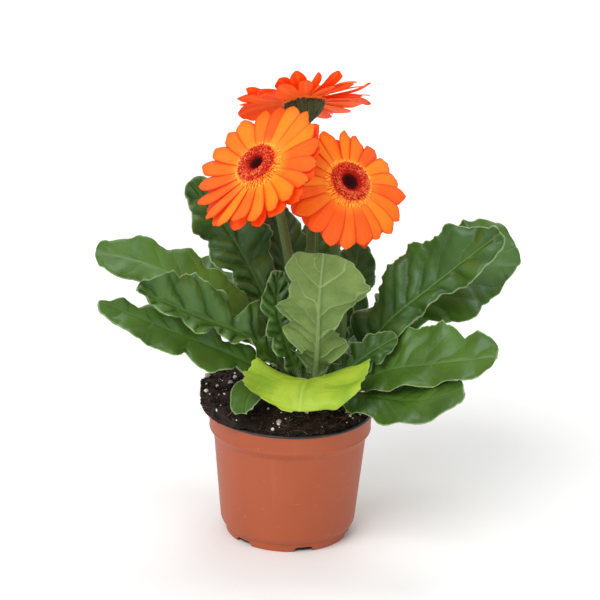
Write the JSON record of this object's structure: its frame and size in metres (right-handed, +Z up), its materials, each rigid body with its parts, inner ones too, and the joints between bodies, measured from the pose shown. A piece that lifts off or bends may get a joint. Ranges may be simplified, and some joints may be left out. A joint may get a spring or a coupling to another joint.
{
  "type": "potted flowering plant",
  "caption": "Potted gerbera: open orange daisy blooms on bare stems over a rosette of lobed leaves, in a round tapered nursery pot filled with soil.",
  "frame": {"origin": "middle of the pot's flat base, on the surface that it stands on", "axes": "+Z up along the pot's axis; the plant's front, towards which two blooms face, looks along -Y; +X is to the right as seen from the front"},
  "size_m": [0.3056, 0.2302, 0.34],
  "materials": {
    "pot": "satin",
    "soil": "matte",
    "leaf": "satin",
    "young_leaf": "satin",
    "stem": "matte",
    "petal": "satin",
    "disc": "matte"
  },
  "bodies": {
    "root": {"pot": "pot", "soil": "soil", "scape_left": "stem", "scape_right": "stem", "scape_rear": "stem", "rays_left": "petal", "rays_right": "petal", "rays_rear": "petal", "disc_left": "disc", "disc_right": "disc", "disc_rear": "disc", "leaf_left_high": "leaf", "leaf_left_curled": "leaf", "leaf_left_low": "leaf", "leaf_front_left": "leaf", "leaf_left_tall": "leaf", "leaf_back_left_tall": "leaf", "leaf_left_inner": "leaf", "leaf_front_upright": "leaf", "leaf_front_lime": "young_leaf", "leaf_right_high": "leaf", "leaf_right_rear": "leaf", "leaf_right_middle": "leaf", "leaf_right_low": "leaf", "leaf_back_right_tall": "leaf", "leaf_back_middle_tall": "leaf", "leaf_right_inner": "leaf", "leaf_middle_right": "leaf", "leaf_rear_left": "leaf", "leaf_rear_middle": "leaf", "leaf_rear_right": "leaf"}
  },
  "joints": []
}
